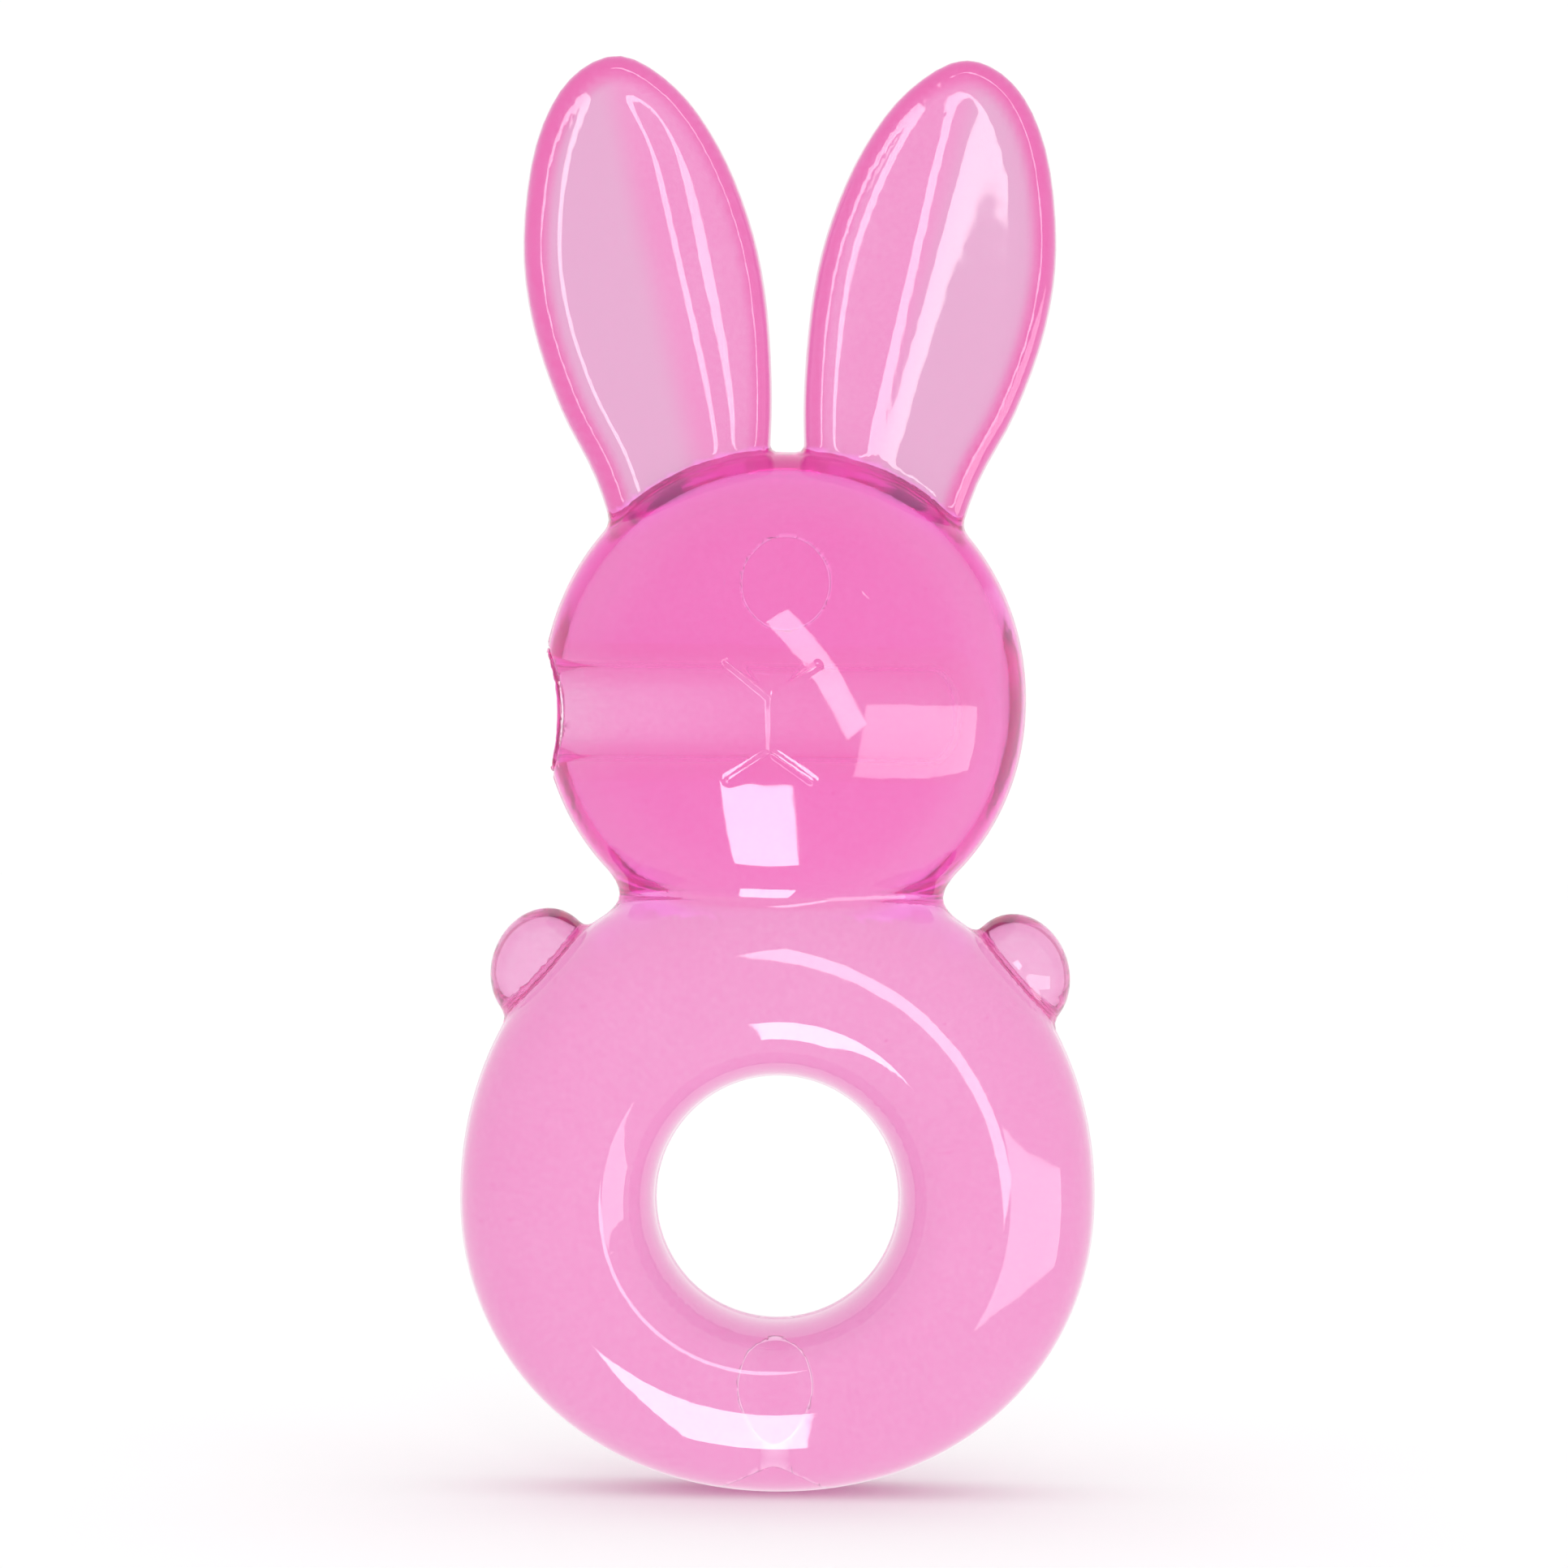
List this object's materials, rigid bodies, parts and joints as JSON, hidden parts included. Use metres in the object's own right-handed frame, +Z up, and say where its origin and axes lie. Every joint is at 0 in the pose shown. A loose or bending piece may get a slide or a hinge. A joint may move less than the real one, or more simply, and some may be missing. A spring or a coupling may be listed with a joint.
{
  "type": "teething ring",
  "caption": "Rabbit-shaped liquid-filled teething ring with a round finger hole, dished ears, paw nubs and a blind socket in the side of the head.",
  "frame": {"origin": "centre of the finger hole, on the parting plane of the moulding", "axes": "+Z up from the ring towards the ears; +Y out of the back, so the face looks along -Y; +X to the right of somebody facing it, so the socket opens along -X"},
  "size_m": [0.053, 0.0204, 0.12],
  "materials": {
    "shell": "polished translucent pink soft plastic",
    "sleeve": "polished translucent pink soft plastic",
    "head_gel": "clear deep pink cooling gel",
    "ring_water": "clear water",
    "plug": "satin translucent pink soft plastic"
  },
  "bodies": {
    "root": {"front_shell": "shell", "rear_shell": "shell", "socket_sleeve": "sleeve", "head_gel": "head_gel", "ring_water": "ring_water", "head_fill_plug": "plug", "ring_fill_plug": "plug"}
  },
  "joints": []
}
